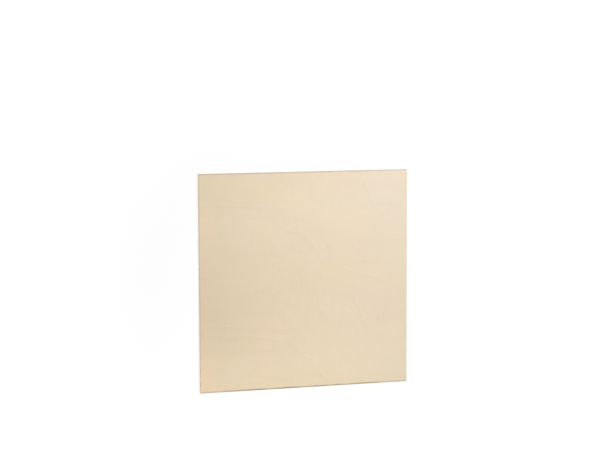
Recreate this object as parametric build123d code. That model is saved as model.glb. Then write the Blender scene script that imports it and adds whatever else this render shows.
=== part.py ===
from build123d import *
from itertools import accumulate
import os

# A square of thin birch plywood, sawn to size and lying flat on its back.
# +X runs along the face grain, +Y across it, and +Z out of the show face.
# The origin is the centre of the back, where the sheet rests.

# Driving dimensions, in millimetres
sheet_length = 300.0  # along the face grain
sheet_width = 300.0  # across the face grain
face_ply = 0.8  # each outer veneer after sanding, grain along X
core_ply = 1.4  # the crossband between them, grain along Y
corner_radius = 0.4  # the upright corners, blunted by handling
arris_radius = 0.15  # the light sanding between a face and the sawn sides

# The lay-up from the back to the show face. An odd count keeps a sheet balanced and flat.
lay_up = [face_ply, core_ply, face_ply]


def pressed_plies():
    """One solid, ruled through an outline at each glue line, which stays as an edge on its sides."""
    outline = RectangleRounded(sheet_length, sheet_width, corner_radius)
    glue_lines = [0.0, *accumulate(lay_up)]
    sections = [Plane.XY.offset(height) * outline for height in glue_lines]
    return loft(sections, ruled=True, clean=False)


def eased(board):
    """The board with the outer edges of both faces lightly rounded over."""
    faces = board.faces().sort_by(Axis.Z)
    return fillet(faces[0].edges() + faces[-1].edges(), arris_radius)


plywood_sheet = eased(pressed_plies())
plywood_sheet.label = "plywood_sheet"

os.makedirs("parts", exist_ok=True)
export_step(plywood_sheet, "parts/plywood_sheet.step")
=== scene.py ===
import math
from typing import NamedTuple

import bpy
import numpy as np
from mathutils import Matrix, Vector


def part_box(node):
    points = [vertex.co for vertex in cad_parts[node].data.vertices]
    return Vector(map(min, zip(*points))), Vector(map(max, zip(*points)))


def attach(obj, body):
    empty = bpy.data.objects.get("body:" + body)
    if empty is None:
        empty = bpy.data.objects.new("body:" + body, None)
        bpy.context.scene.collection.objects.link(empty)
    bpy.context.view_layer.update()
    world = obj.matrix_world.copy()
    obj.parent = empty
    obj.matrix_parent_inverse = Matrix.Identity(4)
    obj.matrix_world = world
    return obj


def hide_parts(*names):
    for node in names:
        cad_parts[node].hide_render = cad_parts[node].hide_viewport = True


# A square of thin birch plywood lying on a pale floor, seen from above.
# Everything is in metres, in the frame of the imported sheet.
# +X runs along the face grain, and +Z out of the show face.

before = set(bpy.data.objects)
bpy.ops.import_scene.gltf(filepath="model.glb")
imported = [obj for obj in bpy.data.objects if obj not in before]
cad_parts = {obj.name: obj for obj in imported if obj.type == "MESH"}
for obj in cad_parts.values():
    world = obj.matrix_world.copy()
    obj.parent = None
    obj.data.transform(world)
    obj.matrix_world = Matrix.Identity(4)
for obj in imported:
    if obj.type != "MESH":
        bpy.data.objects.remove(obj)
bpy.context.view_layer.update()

MM = 0.001
SHEET = "plywood_sheet"
_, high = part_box(SHEET)
HALF_X, HALF_Y, THICKNESS = high.x, high.y, high.z

# The lay-up and the edges, as in the solid
FACE_PLY = 0.8 * MM
CORNER_RADIUS = 0.4 * MM
ARRIS_RADIUS = 0.15 * MM

# What pressing, sawing and sanding leave on the sheet
GLUE_LINE = 0.06 * MM  # height of the dark line between two plies
GLUE_DEPTH = 0.03 * MM  # how far it lies in from the sawn side
CORE_SETBACK = 0.01 * MM  # how far the crossband has shrunk back
FACE_RIPPLE = 0.035 * MM  # how deep the faces dip between high spots
SAW_RIPPLE = 0.03 * MM  # how far the saw wandered
FACE_WAVE_LENGTHS = (18 * MM, 130 * MM)  # the shortest and longest waves of a face's ripple
SAW_WAVE_LENGTHS = (1.5 * MM, 60 * MM)  # and of the saw's wander
FACE_WAVE_SEED, SAW_WAVE_SEED = 11, 12
WAVE_SHIFT = 1.0  # how far apart two faces or sides read the same waves, in metres, so that they differ
TEAR_OUT = 0.32 * MM  # deepest splinter lost where the saw crossed the face grain
SLIVER = 0.10 * MM  # the same where it ran along the grain
TEAR_HALF_LENGTHS = (0.4, 1.4)  # half of the shortest and of the longest tear, in millimetres
SLIVER_HALF_LENGTHS = (2, 9)  # and of the shortest and longest sliver
BACK_SPLINTERS = (21, 34, 7)  # seed, how many on each end, how many on each side
SHOW_SPLINTERS = (22, 20, 5)
SPLINTER_DROP = 0.35  # how far a splinter lowers the face beside it, as a share of its depth
BRUISE_AND_SHADE_REACH = 2.6 * MM  # how far in from the arris a face is darkened, by the saw and by hands and by painted shade

# Spacing of the mesh
END_STEP = 0.5 * MM
SIDE_STEP = 1.0 * MM
GRID_STEP = 3.0 * MM
GRID_MARGIN = 3.0 * MM  # how far in from the outline the grid starts and the ripple reaches full depth
INNERMOST_INSET = 1.0 * MM  # how far in from the outline the innermost ring of a face lies
CORNER_STEPS = 3  # from the end of one side round the corner to the start of the next
TIGHTEST_CORNER = 0.1 * CORNER_RADIUS  # radius that the corners of the innermost rings keep
SHARP_ANGLE = math.radians(50)  # edges that turn by more are shaded sharp

# Material slots of the sheet's mesh. An end is sawn across the face grain and a side along it.
SLOTS = range(7)
SHOW_FACE, BACK_FACE, GLUE, END_OF_FACE_PLY, END_OF_CORE, SIDE_OF_FACE_PLY, SIDE_OF_CORE = SLOTS

# Layout of the unwrapped surface: two squares side by side and a strip for each sawn side above them
FRONT_SQUARE = (0.005, 0.005, 0.660)  # left, bottom and side
BACK_SQUARE = (0.675, 0.005, 0.320)
STRIP_BOTTOM, STRIP_PITCH, STRIP_HEIGHT = 0.675, 0.080, 0.070
STRIP_LEFT, STRIP_LENGTH = 0.005, 0.990


# Mesh


class Waves:
    """A smooth height from 0 to 1 over a plane, from a few seeded cosines of mixed length and direction."""

    def __init__(self, seed, shortest, longest, count=28):
        rng = np.random.default_rng(seed)
        length = shortest * (longest / shortest) ** rng.random(count)
        angle = rng.random(count) * math.tau
        self.across_x = np.cos(angle) * math.tau / length
        self.across_y = np.sin(angle) * math.tau / length
        self.phase = rng.random(count) * math.tau
        self.weight = length / length.sum()

    def __call__(self, x, y):
        angles = np.multiply.outer(x, self.across_x) + np.multiply.outer(y, self.across_y) + self.phase
        return 0.5 + 0.5 * np.cos(angles) @ self.weight


class Rim:
    """The stations round the sheet that every ring of the mesh shares, side by side from the +X end."""

    def __init__(self):
        per_end = round(2 * HALF_Y / END_STEP)
        per_side = round(2 * HALF_X / SIDE_STEP)
        # Each station's side, how far along it that is, and how far round the corner that ends it
        sides, shares, turns = [], [], []
        for side, count in enumerate([per_end, per_side, per_end, per_side]):
            sides += [side] * (count + CORNER_STEPS)
            shares += [k / count for k in range(count)] + [1.0] * CORNER_STEPS
            turns += [0.0] * count + [k / CORNER_STEPS for k in range(CORNER_STEPS)]
        self.side = np.array(sides)
        self.share = np.array(shares)
        self.turn = np.array(turns)
        self.count = len(sides)
        self.station = np.arange(self.count)
        self.after = (self.station + 1) % self.count
        self.on_end = self.side % 2 == 0
        self.run = self.share * np.where(self.on_end, 2 * HALF_Y, 2 * HALF_X)
        self.normal = self.direction(self.side)
        self.tangent = self.direction(self.side + 1)
        self.out = self.direction(self.side + self.turn)

    @staticmethod
    def direction(quarter_turns):
        angle = quarter_turns * math.pi / 2
        return np.stack([np.cos(angle), np.sin(angle)], 1)

    def ring(self, inset, bite):
        """The stations drawn in by inset, and by bite where that differs from station to station."""
        radius = max(CORNER_RADIUS - inset, TIGHTEST_CORNER)
        reach = np.array([HALF_X, HALF_Y]) - inset - radius
        along = (2 * self.share - 1)[:, None]
        return (self.normal + self.tangent * along) * reach + self.out * (radius - bite)[:, None]

    def span_of_side(self):
        """Where the step from each station starts and stops along its side's strip, from 0 to 1."""
        corner = CORNER_STEPS * END_STEP / (2 * HALF_Y)
        start = (self.share + self.turn * corner) / (1 + corner)
        stop = np.where(self.side[self.after] == self.side, start[self.after], 1.0)
        return start, stop


class Ring(NamedTuple):
    """One closed line of the mesh, all round the sheet."""

    inset: float
    height: float
    bite: float  # share of a splinter's depth that is lost here

    @property
    def flat(self):
        """Whether it lies on a face, rather than on an arris or a sawn side."""
        return self.inset >= ARRIS_RADIUS

    @property
    def upper(self):
        return self.height > THICKNESS / 2


def rings_of_sheet():
    """Every ring from the back face up to the show face, the same both ways from mid-thickness."""
    r = ARRIS_RADIUS
    bend = r * (1 - math.sqrt(0.5))
    mid = THICKNESS / 2
    under_glue, over_glue = FACE_PLY - GLUE_LINE / 2, FACE_PLY + GLUE_LINE / 2
    lower_half = [
        Ring(INNERMOST_INSET, 0, 0),
        Ring(2.4 * r, 0, 0.6),
        Ring(r, 0, 1),
        Ring(bend, bend, 0.9),
        Ring(0, r, 0.5),
        Ring(0, 2.6 * r, 0.1),
        Ring(0, under_glue, 0),
        Ring(GLUE_DEPTH, under_glue + GLUE_LINE / 4, 0),
        Ring(GLUE_DEPTH, over_glue - GLUE_LINE / 4, 0),
        Ring(CORE_SETBACK, over_glue, 0),
        Ring(CORE_SETBACK, (over_glue + mid) / 2, 0),
        Ring(CORE_SETBACK, mid, 0),
    ]
    return lower_half + [ring._replace(height=THICKNESS - ring.height) for ring in reversed(lower_half[:-1])]


def band_slots(below, above):
    """(slot on an end, slot on a side) of the band between two rings."""
    z = (below.height + above.height) / 2
    depth = min(z, THICKNESS - z)
    if below.flat and above.flat:
        face = BACK_FACE if z < THICKNESS / 2 else SHOW_FACE
        return face, face
    if depth < FACE_PLY - GLUE_LINE / 2:
        return END_OF_FACE_PLY, SIDE_OF_FACE_PLY
    if depth < FACE_PLY + GLUE_LINE / 2:
        return GLUE, GLUE
    return END_OF_CORE, SIDE_OF_CORE


def splinters(rim, seed, on_ends, on_sides):
    """Depth broken from the arris at each station: short on the ends, long and shallow on the sides."""
    rng = np.random.default_rng(seed)
    depth = np.zeros(rim.count)
    for side in range(4):
        on_end = side % 2 == 0
        for _ in range(on_ends if on_end else on_sides):
            middle = rng.uniform(0, 2 * (HALF_Y if on_end else HALF_X))
            half_length = rng.uniform(*(TEAR_HALF_LENGTHS if on_end else SLIVER_HALF_LENGTHS)) * MM
            deepest = (TEAR_OUT if on_end else SLIVER) * rng.uniform(0.25, 1) ** 1.5
            bowl = (1 - ((rim.run - middle) / half_length) ** 2).clip(0)
            depth = np.maximum(depth, deepest * np.sqrt(bowl) * (rim.side == side))
    return depth


def face_height(waves, x, y, upper):
    """Height of a face's surface, which meets the arris at full thickness and dips towards the middle."""
    edge = np.minimum(HALF_X - np.abs(x), HALF_Y - np.abs(y))
    dip = FACE_RIPPLE * waves(x, y if upper else y + WAVE_SHIFT) * (edge / GRID_MARGIN).clip(0, 1)
    return THICKNESS - dip if upper else dip


def ring_points(rim, rings, face_waves):
    """The vertices of each ring, where the saw's wander, lost splinters and the face's ripple put them."""
    saw_waves = Waves(SAW_WAVE_SEED, *SAW_WAVE_LENGTHS)
    sawn = SAW_RIPPLE * saw_waves(rim.run, rim.side * WAVE_SHIFT)
    lost = [splinters(rim, *BACK_SPLINTERS), splinters(rim, *SHOW_SPLINTERS)]
    points = []
    for ring in rings:
        bite = lost[ring.upper] * ring.bite
        wander = 0 if ring.flat else sawn * math.sin(math.pi * ring.height / THICKNESS)
        xy = rim.ring(ring.inset, bite + wander)
        z = np.full(rim.count, ring.height)
        if ring.flat:
            z = face_height(face_waves, xy[:, 0], xy[:, 1], ring.upper)
        z = z - (1 if ring.upper else -1) * bite * SPLINTER_DROP
        points.append(np.column_stack([xy, z]))
    return points


class FaceGrid:
    """The grid over the middle of a face, and its border as a closed line of vertices from the +X end."""

    def __init__(self):
        nx = round(2 * (HALF_X - GRID_MARGIN) / GRID_STEP)
        ny = round(2 * (HALF_Y - GRID_MARGIN) / GRID_STEP)
        x, y = np.meshgrid(
            np.linspace(GRID_MARGIN - HALF_X, HALF_X - GRID_MARGIN, nx + 1),
            np.linspace(GRID_MARGIN - HALF_Y, HALF_Y - GRID_MARGIN, ny + 1),
            indexing="ij",
        )
        self.x, self.y = x.ravel(), y.ravel()
        at = np.arange(x.size).reshape(x.shape)
        self.quads = np.stack([at[:-1, :-1], at[1:, :-1], at[1:, 1:], at[:-1, 1:]], 2).reshape(-1, 4)
        self.border = np.concatenate([at[-1, :-1], at[:0:-1, -1], at[0, :0:-1], at[:-1, 0]])
        self.border_at = np.concatenate([side + np.arange(m) / m for side, m in enumerate([ny, nx, ny, nx])])


def zipped(outer, outer_at, inner, inner_at):
    """Triangles between two closed lines of vertices, each with its place round the sheet, facing up."""
    triangles = []
    i = j = 0
    outer_at = [*outer_at, 4.0]
    inner_at = [*inner_at, 4.0]
    while i < len(outer) or j < len(inner):
        a, b = outer[i % len(outer)], inner[j % len(inner)]
        if j == len(inner) or (i < len(outer) and outer_at[i + 1] <= inner_at[j + 1]):
            i += 1
            triangles.append((a, outer[i % len(outer)], b))
        else:
            j += 1
            triangles.append((a, inner[j % len(inner)], b))
    return np.array(triangles)


def square_uv(points, upper):
    """Places on a face's square of the unwrapped surface, mirrored for the back as it is seen from below."""
    left, bottom, side = FRONT_SQUARE if upper else BACK_SQUARE
    across = points[:, 0] if upper else -points[:, 0]
    scale = side / (2 * max(HALF_X, HALF_Y))
    return np.stack([left + (across + HALF_X) * scale, bottom + (points[:, 1] + HALF_Y) * scale], 1)


def climb(rings):
    """How far up a sawn side and its two arrises each ring lies, along the surface, from 0 to 1."""
    steps = [
        math.hypot(above.inset - below.inset, above.height - below.height)
        for below, above in zip(rings, rings[1:])
    ]
    length = np.cumsum([0, *steps])
    on_side = [k for k, ring in enumerate(rings) if ring.inset <= ARRIS_RADIUS]
    first, last = length[on_side[0]], length[on_side[-1]]
    return (length - first) / (last - first)


def strip_uv(rim, low_share, high_share):
    """Places of a band's quads on the strips of the four sawn sides."""
    start, stop = rim.span_of_side()
    u = STRIP_LEFT + STRIP_LENGTH * np.stack([start, stop, stop, start], 1)
    up = np.array([low_share, low_share, high_share, high_share])
    v = STRIP_BOTTOM + STRIP_PITCH * rim.side[:, None] + STRIP_HEIGHT * up
    return np.stack([u, v], 2).reshape(-1, 2)


class Skin:
    """Polygons with their material slots and their places on the unwrapped surface, added patch by patch."""

    def __init__(self, vertices):
        self.vertices = vertices
        self.polygons, self.slots, self.uvs = [], [], []

    def add(self, polygons, slots, uvs):
        self.polygons.append(polygons)
        self.slots.append(slots)
        self.uvs.append(uvs)

    def add_flat(self, polygons, slots, upper):
        self.add(polygons, slots, square_uv(self.vertices[polygons.ravel()], upper))


def add_bands(skin, rim, rings):
    """The quads between each ring and the next one up."""
    share = climb(rings)
    corners = np.stack([rim.station, rim.after, rim.after + rim.count, rim.station + rim.count], 1)
    for k, (below, above) in enumerate(zip(rings, rings[1:])):
        quads = corners + k * rim.count
        slots = np.where(rim.on_end, *band_slots(below, above))
        if below.flat and above.flat:
            skin.add_flat(quads, slots, below.upper)
        else:
            skin.add(quads, slots, strip_uv(rim, share[k], share[k + 1]))


def add_face(skin, rim, ring_start, grid, grid_start, upper):
    """A face's grid, and the triangles that join it to the face's innermost ring."""
    rim_line = ring_start + rim.station
    border = grid_start + grid.border
    triangles = zipped(rim_line, rim.side + rim.share, border, grid.border_at)
    for found in (grid.quads + grid_start, triangles):
        facing_out = found if upper else found[:, ::-1]
        slots = np.full(len(found), SHOW_FACE if upper else BACK_FACE)
        skin.add_flat(facing_out, slots, upper)


def build_sheet():
    """The sheet as one closed mesh: rings round the sawn sides, and a grid over each face."""
    rim, rings, grid = Rim(), rings_of_sheet(), FaceGrid()
    face_waves = Waves(FACE_WAVE_SEED, *FACE_WAVE_LENGTHS)
    points = ring_points(rim, rings, face_waves)
    for upper in (False, True):
        points.append(np.column_stack([grid.x, grid.y, face_height(face_waves, grid.x, grid.y, upper)]))

    skin = Skin(np.concatenate(points))
    add_bands(skin, rim, rings)
    after_rings = len(rings) * rim.count
    add_face(skin, rim, 0, grid, after_rings, upper=False)
    add_face(skin, rim, after_rings - rim.count, grid, after_rings + grid.x.size, upper=True)

    mesh = bpy.data.meshes.new("plywood_sheet_detail")
    mesh.from_pydata(skin.vertices.tolist(), [], [p for patch in skin.polygons for p in patch.tolist()])
    mesh.polygons.foreach_set("material_index", np.concatenate(skin.slots).astype(np.int32))
    layer = mesh.uv_layers.new(name="OFBake")
    layer.uv.foreach_set("vector", np.concatenate(skin.uvs).astype(np.float32).ravel())
    mesh.shade_smooth()
    mesh.set_sharp_from_angle(angle=SHARP_ANGLE)
    mesh.update()
    sheet = bpy.data.objects.new("birch_sheet", mesh)
    bpy.context.collection.objects.link(sheet)
    return sheet


# Shading

# Sockets of a Mix node that are in use when it mixes colours
MIX_FACTOR, MIX_UNDER, MIX_OVER, MIX_RESULT = 0, 6, 7, 2


class Signal:
    """A number that varies over a surface. Arithmetic on it adds the nodes that do the same sum."""

    def __init__(self, socket):
        self.socket = socket
        self.tree = socket.id_data

    def math(self, operation, *values):
        node = self.tree.nodes.new("ShaderNodeMath")
        node.operation = operation
        for place, value in zip(node.inputs, values):
            feed(place, value)
        return Signal(node.outputs[0])

    def __add__(self, other):
        return self.math("ADD", self, other)

    def __radd__(self, other):
        return self.math("ADD", other, self)

    def __sub__(self, other):
        return self.math("SUBTRACT", self, other)

    def __rsub__(self, other):
        return self.math("SUBTRACT", other, self)

    def __mul__(self, other):
        return self.math("MULTIPLY", self, other)

    def __rmul__(self, other):
        return self.math("MULTIPLY", other, self)

    def __truediv__(self, other):
        return self.math("DIVIDE", self, other)

    def __abs__(self):
        return self.math("ABSOLUTE", self)

    def root(self):
        return self.math("SQRT", self)

    def fraction(self):
        return self.math("FRACT", self)

    def at_least(self, other):
        return self.math("MAXIMUM", self, other)


def feed(place, value):
    """Gives a socket a signal's link, or a plain value."""
    if isinstance(value, Signal):
        place.id_data.links.new(value.socket, place)
    else:
        place.default_value = value


def rise(signal, start, end):
    """0 below start and 1 above end, with a smooth step between."""
    node = signal.tree.nodes.new("ShaderNodeMapRange")
    node.interpolation_type = "SMOOTHSTEP"
    for name, value in (("Value", signal), ("From Min", start), ("From Max", end)):
        feed(node.inputs[name], value)
    return Signal(node.outputs[0])


def fall(signal, start, end):
    """1 below start and 0 above end, with a smooth step between."""
    return 1 - rise(signal, start, end)


def band(signal, start, end, soft):
    """1 between start and end, fading to 0 over the soft width outside them."""
    return rise(signal, start - soft, start) * fall(signal, end, end + soft)


def noise(x, y, z, detail=2.0):
    """Noise from about 0 to 1 at a point given in cells. Patterns read at different z don't look alike."""
    tree = next(s for s in (x, y, z) if isinstance(s, Signal)).tree
    point = tree.nodes.new("ShaderNodeCombineXYZ")
    for place, value in zip(point.inputs, (x, y, z)):
        feed(place, value)
    node = tree.nodes.new("ShaderNodeTexNoise")
    node.inputs["Scale"].default_value = 1.0
    node.inputs["Detail"].default_value = detail
    tree.links.new(point.outputs[0], node.inputs["Vector"])
    return Signal(node.outputs["Fac"])


def linear(red, green, blue):
    """A shader's colour from one written in sRGB, as a screen shows it, from 0 to 255."""

    def decode(value):
        value /= 255
        return value / 12.92 if value <= 0.04045 else ((value + 0.055) / 1.055) ** 2.4

    return decode(red), decode(green), decode(blue), 1.0


def laid_over(base, *coats):
    """The base colour with each (amount, colour) laid over it in turn."""
    for amount, colour in coats:
        node = amount.tree.nodes.new("ShaderNodeMix")
        node.data_type = "RGBA"
        feed(node.inputs[MIX_FACTOR], amount)
        feed(node.inputs[MIX_UNDER], base)
        feed(node.inputs[MIX_OVER], colour)
        base = Signal(node.outputs[MIX_RESULT])
    return base


def wood(name, specular):
    """A material with its shader, and the point being shaded in the sheet's own frame."""
    material = bpy.data.materials.new(name)
    material.use_nodes = True
    tree = material.node_tree
    shader = tree.nodes["Principled BSDF"]
    shader.inputs["Specular IOR Level"].default_value = specular
    place = tree.nodes.new("ShaderNodeTexCoord")
    split = tree.nodes.new("ShaderNodeSeparateXYZ")
    tree.links.new(place.outputs["Object"], split.inputs[0])
    x, y, z = (Signal(output) for output in split.outputs)
    return material, shader, x, y, z


def relief(shader, height):
    """Bump from a height in metres."""
    node = height.tree.nodes.new("ShaderNodeBump")
    node.inputs["Distance"].default_value = 1.0
    feed(node.inputs["Height"], height)
    feed(shader.inputs["Normal"], Signal(node.outputs[0]))


# The two faces

CREAM = linear(228, 210, 183)
STRAW = linear(219, 201, 169)
ROSE = linear(229, 204, 177)
HONEY = linear(230, 210, 168)
# Also a painted cast of light, cooler towards the right of a face
SAPWOOD_AND_PAINTED_LIGHT = linear(216, 202, 181)
# Also painted shade on the show face, where it is darker towards the left
HEARTWOOD_AND_PAINTED_SHADE = linear(213, 192, 165)
FLUSH = linear(235, 209, 176)
# Also painted light, in broad pale patches of the show face
EARLY_WOOD_AND_PAINTED_LIGHT = linear(237, 222, 195)
LATE_WOOD = linear(188, 157, 117)
PORE = linear(184, 154, 117)
FLECK = linear(160, 122, 84)
# Bruising mixed with painted shade, for the darkened rim of a face
BRUISED_AND_SHADED = linear(124, 106, 86)

# Growth lines of the show face: (strength, start, end, how far down it begins, its steps down the face).
# Each step is (start, end, drop). Places along and down a face go from 0 to 1 from its left and its top.
GROWTH_LINES = [
    (0.8, 0.10, 0.24, 0.112, [(0.06, 0.22, 0.025)]),
    (1.0, 0.07, 0.43, 0.146, [(0.05, 0.46, 0.024)]),
    (0.8, 0.08, 0.34, 0.183, [(0.08, 0.40, 0.018)]),
    (
        1.0, 0.16, 0.93, 0.205,
        [(0.30, 0.46, 0.075), (0.47, 0.62, 0.160), (0.62, 0.78, 0.046), (0.79, 0.94, 0.046)],
    ),
    (1.0, 0.06, 0.43, 0.700, [(0.06, 0.42, 0.026)]),
    (0.5, 0.12, 0.38, 0.803, [(0.10, 0.50, 0.030)]),
    (1.0, 0.14, 0.60, 0.745, [(0.10, 0.50, 0.045), (0.43, 0.51, 0.070), (0.51, 0.62, 0.125)]),
    (0.9, 0.42, 0.96, 0.538, [(0.40, 0.70, 0.022), (0.70, 0.84, 0.205), (0.84, 0.99, 0.028)]),
    (0.9, 0.79, 0.86, 0.030, [(0.755, 0.875, 0.170)]),
    (0.8, 0.72, 0.77, 0.300, [(0.69, 0.80, 0.100)]),
    (0.7, 0.75, 0.80, 0.415, [(0.74, 0.86, 0.020)]),
    (0.6, 0.92, 0.98, 0.322, [(0.90, 1.00, 0.012)]),
    (0.5, 0.66, 0.72, 0.430, [(0.64, 0.75, 0.018)]),
    (0.9, 0.01, 0.04, 0.465, [(0.00, 0.07, 0.028)]),
]

# The look of a growth line. Its lengths are shares of a face.
LINE_WIDTH = 0.0045
LINE_FADE = 0.05  # how far a line fades out past its ends
LINE_WANDER = 0.016  # how far the lines stray up and down together
LINE_RAGGED = 0.03  # how far the figure of a face strays along its fibres
LEVEL_LINE = 0.75  # strength where a line runs level, beside 1 where it is steep
SHADE_REACH, SHADE = 6 * LINE_WIDTH, 0.30  # the late wood that darkens towards a line from below
PALE_REACH, PALE_PEAK, PALE = 5 * LINE_WIDTH, 1.5 * LINE_WIDTH, 0.4  # the early wood just above it

# The faint rings between the lines: how far apart they are, and how strongly both kinds of wood show
SHOW_RING_STEP, BACK_RING_STEP = 0.091, 0.115
FAINT_LATE, FAINT_EARLY = 0.16, 0.20

# Pith flecks: (along, down, length, width), the first two as shares of a face
SHOW_FLECKS = [
    (0.315, 0.367, 4.0 * MM, 4.5 * MM),
    (0.402, 0.236, 6.0 * MM, 5.0 * MM),
    (0.872, 0.292, 5.0 * MM, 6.5 * MM),
    (0.610, 0.345, 8.0 * MM, 9.0 * MM),
    (0.297, 0.545, 4.0 * MM, 11.0 * MM),
    (0.856, 0.708, 5.5 * MM, 19.0 * MM),
    (0.578, 0.662, 6.5 * MM, 10.0 * MM),
    (0.600, 0.744, 4.0 * MM, 4.0 * MM),
]
BACK_FLECKS = [
    (0.18, 0.22, 7.0 * MM, 1.8 * MM),
    (0.44, 0.71, 4.0 * MM, 2.4 * MM),
    (0.67, 0.36, 9.0 * MM, 1.6 * MM),
    (0.83, 0.84, 3.5 * MM, 2.6 * MM),
]

# Broad patches of tone and of painted light and shade: (along, down, length, width, strength, colour), the
# first four as shares of a face
SHOW_TINTS_AND_PAINTED_LIGHT = [
    # Painted shade: the show face darker towards its left, where less light falls
    (0.00, 0.63, 0.90, 0.84, 0.50, HEARTWOOD_AND_PAINTED_SHADE),
    # Painted light: the show face paler at its top and lower right
    (0.42, 0.20, 1.10, 0.36, 0.16, EARLY_WOOD_AND_PAINTED_LIGHT),
    (0.80, 0.88, 0.90, 0.50, 0.14, EARLY_WOOD_AND_PAINTED_LIGHT),
    # The wood's own warmer tone towards the left
    (0.00, 0.22, 0.26, 0.34, 0.60, FLUSH),
    (0.00, 0.93, 0.28, 0.44, 0.70, FLUSH),
]
BACK_TINTS = [
    (0.85, 0.30, 0.80, 0.60, 0.40, HEARTWOOD_AND_PAINTED_SHADE),
    (0.25, 0.75, 0.90, 0.40, 0.20, EARLY_WOOD_AND_PAINTED_LIGHT),
]

# How uneven the outlines of flecks and patches are, beside their own size
FLECK_RAGGED, TINT_RAGGED = 1.6, 0.3

# How dark the bruising and painted shade on a face's rim are along its other three sides, beside the darkest
# place along the lower one
UPPER_BRUISE_AND_SHADE, LEFT_BRUISE_AND_SHADE, RIGHT_BRUISE_AND_SHADE = 0.36, 0.10, 0.05


def fibres(x, y, seed):
    """Wood fibre along X: (streaks, fine fibres), each from about 0 to 1."""
    sway = y + 2.5 * MM * noise(x / (90 * MM), y / (60 * MM), seed + 0.5)
    streak = noise(x / (45 * MM), sway / (1.8 * MM), seed + 2.5, detail=3)
    fine = noise(x / (9 * MM), sway / (0.28 * MM), seed + 3.5)
    return streak, fine


def pith_flecks(x, y, flecks, seed):
    """Small brown marks with ragged outlines."""
    tangle = noise(x / (2.2 * MM), y / (0.8 * MM), seed, detail=3)
    total = 0.0
    for along, down, length, width in flecks:
        dx = (x - (2 * along - 1) * HALF_X) / (length / 2)
        dy = (y - (1 - 2 * down) * HALF_Y) / (width / 2)
        apart = (dx * dx + dy * dy).root()
        total = total + fall(apart + FLECK_RAGGED * (tangle - 0.5), 0.2, 1.2)
    return total


def tints_and_painted_light(u, v, wander, broad_patches):
    """The coats that broad patches of tone, and of painted light and shade, add with soft, uneven outlines.
    """
    coats = []
    for along, down, length, width, strength, colour in broad_patches:
        dx = (u - along) / (length / 2)
        dy = (v - down) / (width / 2)
        apart = (dx * dx + dy * dy).root() + TINT_RAGGED * (wander - 0.5)
        coats.append((strength * fall(apart, 0.0, 1.0), colour))
    return coats


def bruise_and_painted_shade(x, y, seed):
    """The darkened rim of a face, partly bruising and partly painted shade, worst along the side that the
    sheet was stood on.
    """
    uneven = noise(x / (24 * MM), y / (24 * MM), seed, detail=3)
    rim_streaks = noise(x / (5 * MM), y / (0.4 * MM), seed + 0.5, detail=3)
    reach = BRUISE_AND_SHADE_REACH * (0.5 + uneven)
    lower, upper, left, right = (
        fall(distance / reach, 0.15, 1.0) for distance in (HALF_Y + y, HALF_Y - y, HALF_X + x, HALF_X - x)
    )
    most_in_the_middle = 1 - 0.60 * (x / HALF_X) * (x / HALF_X)
    most_halfway_up = 1 - 0.90 * (y / HALF_Y) * (y / HALF_Y)
    worst = (lower * most_in_the_middle).at_least(UPPER_BRUISE_AND_SHADE * upper)
    worst = worst.at_least(LEFT_BRUISE_AND_SHADE * left * most_halfway_up).at_least(RIGHT_BRUISE_AND_SHADE * right)
    return worst * (0.55 + 0.20 * rise(uneven, 0.35, 0.60) + 0.50 * rise(rim_streaks, 0.30, 0.70))


def growth_lines(u, v):
    """The marked lines: late wood with a crisp upper edge, and paler early wood above it."""
    late = early = 0.0
    for strength, start, end, place, steps in GROWTH_LINES:
        slope = 0.0
        for step_start, step_end, drop in steps:
            taken = rise(u, step_start, step_end)
            place = place + drop * taken
            # Steepest halfway down the step, at 1.5 of its mean slope
            slope = slope + 6 * drop / (step_end - step_start) * taken * (1 - taken)
        # Measured square to the line, so that a steep stretch is no thicker than a level one
        below = (v - place) / (1 + slope * slope).root()
        steepness = rise(slope, 0.0, 0.8)
        here = strength * band(u, start, end, LINE_FADE) * (LEVEL_LINE + (1 - LEVEL_LINE) * steepness)
        crisp = fall(abs(below), 0.0, LINE_WIDTH)
        shade = rise(below, 0.0, LINE_WIDTH) * fall(below, LINE_WIDTH, SHADE_REACH)
        pale = rise(below, -PALE_REACH, -PALE_PEAK) * fall(below, -PALE_PEAK, 0.0)
        late = late + here * (crisp + SHADE * shade)
        early = early + PALE * here * pale
    return late, early


def show_figure(u, v, wander):
    """Growth rings of the show face as (late wood, early wood): marked lines, and faint rings between."""
    late, early = growth_lines(u, v + LINE_WANDER * (wander - 0.5))
    # The faint rings step down the face about where the longest marked lines do
    first_step = 0.25 * rise(u, 0.33, 0.65)
    second_step = 0.17 * rise(v, 0.42, 0.66) * rise(u, 0.70, 0.84)
    level = v - first_step - second_step + 0.13 * wander
    faint_late, faint_early = faint_rings(level, SHOW_RING_STEP)
    return late + FAINT_LATE * faint_late, early + FAINT_EARLY * faint_early


def back_figure(u, v, wander):
    """Growth rings of the back as (late wood, early wood): long nested tongues."""
    half_width = 0.30 + 0.35 * u
    spread = (v - 0.55) / half_width
    level = 0.9 * u - 1.1 * spread * spread + 0.10 * (wander - 0.5)
    return faint_rings(level, BACK_RING_STEP)


def faint_rings(level, every):
    """Rings at even steps of the level, each darkening slowly to a crisp edge."""
    turn = (level / every).fraction()
    late = rise(turn, 0.45, 0.94) * fall(turn, 0.95, 0.99)
    early = fall(turn, 0.0, 0.35) * rise(turn, 0.0, 0.04)
    return late, early


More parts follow.
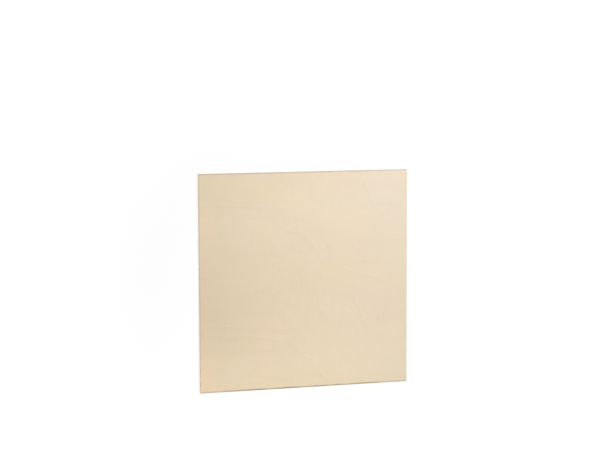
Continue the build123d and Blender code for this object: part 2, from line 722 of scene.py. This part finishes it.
def ground_coats(x, y, u, streak, fine, seed):
    """The uneven ground of a face: straw, rose and honey tones, and towards its right a paler tone that is
    partly sapwood and partly painted light.
    """
    patch = noise(x / (80 * MM), y / (50 * MM), seed + 13.5)
    blush = noise(x / (46 * MM), y / (38 * MM), seed + 14.5)
    flame = noise(x / (5 * MM), y / (26 * MM), seed + 15.5)
    warmth = noise(x / (70 * MM), y / (48 * MM), seed + 20.5)
    tone = 0.40 * patch + 0.10 * streak + 0.32 * fine + 0.18 * flame
    return [
        (rise(tone, 0.26, 0.74), STRAW),
        (0.42 * rise(blush, 0.40, 0.70), ROSE),
        (0.28 * rise(warmth, 0.36, 0.66), HONEY),
        # Painted light mixed with sapwood: a cooler cast growing towards the right
        (0.45 * rise(u, 0.45, 1.0), SAPWOOD_AND_PAINTED_LIGHT),
    ]


def face_veneer(name, seed, figure, flecks, broad_patches):
    """Rotary-cut birch, sanded: a pale ground with faint growth rings, pores and the odd fleck."""
    material, shader, x, y, _ = wood(name, specular=0.5)
    u = (x + HALF_X) / (2 * HALF_X)
    v = (HALF_Y - y) / (2 * HALF_Y)
    streak, fine = fibres(x, y, seed)
    wander = noise(x / (55 * MM), y / (28 * MM), seed + 10.5, detail=3)
    ragged = noise(x / (60 * MM), y / (3.4 * MM), seed + 11.5, detail=3) - 0.5
    late, early = figure(u + LINE_RAGGED * ragged, v, wander)
    broken = 0.45 + 0.55 * rise(noise(x / (30 * MM), y / (12 * MM), seed + 12.5, detail=3), 0.36, 0.64)
    pores = rise(noise(x / (1.7 * MM), y / (0.15 * MM), seed + 16.5, detail=1), 0.62, 0.74)
    colour = laid_over(
        CREAM,
        *ground_coats(x, y, u, streak, fine, seed),
        # Broad patches: the wood's tone, and on the show face also painted light and shade
        *tints_and_painted_light(u, v, wander, broad_patches),
        (0.26 * early * broken, EARLY_WOOD_AND_PAINTED_LIGHT),
        (0.13 * late * broken, LATE_WOOD),
        (0.34 * pores, PORE),
        (0.065 * pith_flecks(x, y, flecks, seed + 17.5), FLECK),
        # Bruising and painted shade along the rim, darkest along the lower side
        (0.96 * bruise_and_painted_shade(x, y, seed + 18.5), BRUISED_AND_SHADED),
    )
    feed(shader.inputs["Base Color"], colour)
    feed(shader.inputs["Roughness"], 0.36 + 0.09 * fine + 0.06 * pores)
    relief(shader, 0.004 * MM * streak + 0.003 * MM * fine - 0.006 * MM * pores)
    return material


# The sawn sides

END_GRAIN = linear(220, 194, 158)
END_GRAIN_DEEP = linear(192, 158, 117)
LONG_GRAIN = linear(233, 216, 186)
LONG_GRAIN_DEEP = linear(221, 199, 164)
OPEN_PORE = linear(122, 90, 60)
GLUE_BROWN = linear(126, 92, 62)
GLUE_PALE = linear(176, 144, 106)
HAND_DIRT = linear(150, 124, 92)


def sawn_marks(run, z, other):
    """Fine upright scores that the saw's teeth leave, from 0 to 1."""
    return noise((run + 0.25 * z) / (0.32 * MM), z / (5 * MM), other / (50 * MM), detail=3)


def handled(z, run):
    """Dirt near both arrises of a side."""
    depth = THICKNESS / 2 - abs(z - THICKNESS / 2)
    return fall(depth / MM + 0.3 * noise(run / (3 * MM), z / (1 * MM), 5.5), 0.15, 0.55)


def end_grain(name, runs_along_y):
    """A ply sawn across its fibres: a dark speckle of pores, and lathe checks slanting through it."""
    material, shader, x, y, z = wood(name, specular=0.3)
    run, other = (y, x) if runs_along_y else (x, y)
    patch = noise(run / (11 * MM), z / (3 * MM), other / (40 * MM), detail=3)
    scores = sawn_marks(run, z, other)
    pores = rise(noise(run / (0.16 * MM), z / (0.11 * MM), other / (30 * MM), detail=1), 0.57, 0.67)
    slanted = run + 0.6 * z
    checks = rise(noise(slanted / (0.55 * MM), z / (1.6 * MM), other / (20 * MM), detail=2), 0.64, 0.70)
    colour = laid_over(
        END_GRAIN,
        (rise(0.6 * patch + 0.4 * scores, 0.36, 0.64), END_GRAIN_DEEP),
        (0.45 * pores, OPEN_PORE),
        (0.60 * checks, OPEN_PORE),
        (0.35 * handled(z, run), HAND_DIRT),
    )
    feed(shader.inputs["Base Color"], colour)
    feed(shader.inputs["Roughness"], 0.66 + 0.14 * scores)
    relief(shader, 0.012 * MM * scores - 0.010 * MM * pores - 0.020 * MM * checks)
    return material


def long_grain(name, runs_along_y):
    """A ply sawn along its fibres: pale, with fine streaks along the side."""
    material, shader, x, y, z = wood(name, specular=0.35)
    run, other = (y, x) if runs_along_y else (x, y)
    patch = noise(run / (26 * MM), z / (2 * MM), other / (40 * MM), detail=2)
    streak = noise(run / (7 * MM), z / (0.11 * MM), other / (30 * MM), detail=3)
    dashes = rise(noise(run / (0.9 * MM), z / (0.06 * MM), other / (20 * MM), detail=1), 0.62, 0.72)
    scores = sawn_marks(run, z, other)
    colour = laid_over(
        LONG_GRAIN,
        (rise(0.45 * patch + 0.40 * streak + 0.15 * scores, 0.36, 0.64), LONG_GRAIN_DEEP),
        (0.40 * dashes, PORE),
        (0.35 * handled(z, run), HAND_DIRT),
    )
    feed(shader.inputs["Base Color"], colour)
    feed(shader.inputs["Roughness"], 0.56 + 0.12 * streak)
    relief(shader, 0.008 * MM * scores + 0.005 * MM * streak - 0.006 * MM * dashes)
    return material


def glue_line(name):
    """Hardened resin: dark, paler where the saw has dragged fibres over it."""
    material, shader, x, y, z = wood(name, specular=0.5)
    dragged = noise(x / (2.6 * MM), y / (2.6 * MM), z / (0.6 * MM), detail=4)
    beads = noise(x / (0.4 * MM), y / (0.4 * MM), z / (0.1 * MM))
    feed(shader.inputs["Base Color"], laid_over(GLUE_BROWN, (rise(dragged, 0.46, 0.66), GLUE_PALE)))
    feed(shader.inputs["Roughness"], 0.42 + 0.25 * beads)
    relief(shader, 0.006 * MM * beads)
    return material


def dress(sheet):
    """Gives each slot of the mesh its material."""
    made = {
        SHOW_FACE: face_veneer("show_veneer", 10, show_figure, SHOW_FLECKS, SHOW_TINTS_AND_PAINTED_LIGHT),
        BACK_FACE: face_veneer("back_veneer", 40, back_figure, BACK_FLECKS, BACK_TINTS),
        GLUE: glue_line("glue_line"),
        END_OF_FACE_PLY: end_grain("end_of_face_ply", runs_along_y=True),
        END_OF_CORE: long_grain("end_of_core", runs_along_y=True),
        SIDE_OF_FACE_PLY: long_grain("side_of_face_ply", runs_along_y=False),
        SIDE_OF_CORE: end_grain("side_of_core", runs_along_y=False),
    }
    for slot in SLOTS:
        sheet.data.materials.append(made[slot])


# Stage

SHEET_SIDE = 2 * HALF_Y
CENTRE = Vector((0, 0, THICKNESS))

# The camera, in sheet sides from the middle of the show face.
# It stands and aims so that the sheet's outline falls as in the photograph.
CAMERA_AT = Vector((-2.486, 1.044, 7.882))
AIM_AT = Vector((-0.023, 0.221, 0.0))
UPRIGHT = Vector((0.0039, 1.0, 0.0))
LENS, SENSOR_WIDTH = 108.5, 36.0
NEAR, FAR = 0.1, 50.0

# Round lamps that face the sheet: (name, place, diameter, watts, whether it shows in the gloss)
LAMPS = [
    ("key", (0.62, 0.32, 1.30), 0.8, 15.3, True),
    ("fill", (-0.06, -0.36, 0.20), 0.4, 0.36, True),
    ("side", (-1.50, 0.10, 0.15), 0.28, 6.5, False),
]
WORLD_LIGHT = 0.28
FLOOR_SIZE = 12.0
FLOOR_GAP = 0.05 * MM  # a hair under the sheet, so that the two surfaces don't share a plane
FLOOR_WHITE = (0.95, 0.95, 0.95, 1.0)
BACKDROP_WHITE = 1.05
BACKDROP_SHARE = 0.70  # how much of the seen floor's colour is plain white close to the sheet
BACKDROP_START = 0.19  # distance from the sheet's middle at which that share starts to grow
BACKDROP_FULL = 0.42  # and at which it is all


def add_camera():
    data = bpy.data.cameras.new("camera")
    data.lens = LENS
    data.sensor_width = SENSOR_WIDTH
    data.clip_start, data.clip_end = NEAR, FAR
    camera = bpy.data.objects.new("camera", data)
    back = (CAMERA_AT - AIM_AT).normalized()
    right = UPRIGHT.cross(back).normalized()
    turn = Matrix((right, back.cross(right), back)).transposed()
    camera.matrix_world = Matrix.Translation(CENTRE + CAMERA_AT * SHEET_SIDE) @ turn.to_4x4()
    bpy.context.collection.objects.link(camera)
    bpy.context.scene.camera = camera


def add_lamp(name, place, diameter, watts, in_gloss):
    data = bpy.data.lights.new(name, "AREA")
    data.shape = "DISK"
    data.size = diameter
    data.energy = watts
    lamp = bpy.data.objects.new(name, data)
    lamp.location = place
    lamp.visible_camera = False
    lamp.visible_glossy = in_gloss
    lamp.rotation_euler = (CENTRE - Vector(place)).to_track_quat("-Z", "Y").to_euler()
    bpy.context.collection.objects.link(lamp)


def seen_directly(tree):
    """1 for what the camera sees, straight, mirrored or through glass, and 0 for light on the object."""
    ray = tree.nodes.new("ShaderNodeLightPath")
    camera, glossy, through = (
        Signal(ray.outputs[name]) for name in ("Is Camera Ray", "Is Glossy Ray", "Is Transmission Ray")
    )
    return camera.at_least(glossy).at_least(through)


def add_world():
    world = bpy.data.worlds.new("studio")
    world.use_nodes = True
    tree = world.node_tree
    back = tree.nodes["Background"]
    back.inputs["Color"].default_value = (1.0, 1.0, 1.0, 1.0)
    feed(back.inputs["Strength"], WORLD_LIGHT + (1 - WORLD_LIGHT) * seen_directly(tree))
    bpy.context.scene.world = world


def floor_material():
    """Matt white round the sheet, where it shows the shadow, and plain white backdrop further out."""
    material = bpy.data.materials.new("floor")
    material.use_nodes = True
    tree = material.node_tree
    tree.nodes.clear()
    matte = tree.nodes.new("ShaderNodeBsdfDiffuse")
    matte.inputs["Color"].default_value = FLOOR_WHITE
    white = tree.nodes.new("ShaderNodeEmission")
    white.inputs["Strength"].default_value = BACKDROP_WHITE
    place = tree.nodes.new("ShaderNodeTexCoord")
    reach = tree.nodes.new("ShaderNodeVectorMath")
    reach.operation = "LENGTH"
    tree.links.new(place.outputs["Object"], reach.inputs[0])
    blend = tree.nodes.new("ShaderNodeMixShader")
    further = rise(Signal(reach.outputs["Value"]), BACKDROP_START, BACKDROP_FULL)
    feed(blend.inputs[0], seen_directly(tree) * (BACKDROP_SHARE + (1 - BACKDROP_SHARE) * further))
    tree.links.new(matte.outputs[0], blend.inputs[1])
    tree.links.new(white.outputs[0], blend.inputs[2])
    end = tree.nodes.new("ShaderNodeOutputMaterial")
    tree.links.new(blend.outputs[0], end.inputs["Surface"])
    return material


def add_floor():
    half = FLOOR_SIZE / 2
    corners = [(x * half, y * half, -FLOOR_GAP) for x, y in ((-1, -1), (1, -1), (1, 1), (-1, 1))]
    mesh = bpy.data.meshes.new("floor")
    mesh.from_pydata(corners, [], [(0, 1, 2, 3)])
    mesh.materials.append(floor_material())
    floor = bpy.data.objects.new("floor", mesh)
    bpy.context.collection.objects.link(floor)


sheet = build_sheet()
dress(sheet)
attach(sheet, "root")
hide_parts(SHEET)

add_camera()
add_floor()
add_world()
for lamp in LAMPS:
    add_lamp(*lamp)
bpy.context.scene.view_settings.view_transform = "Standard"
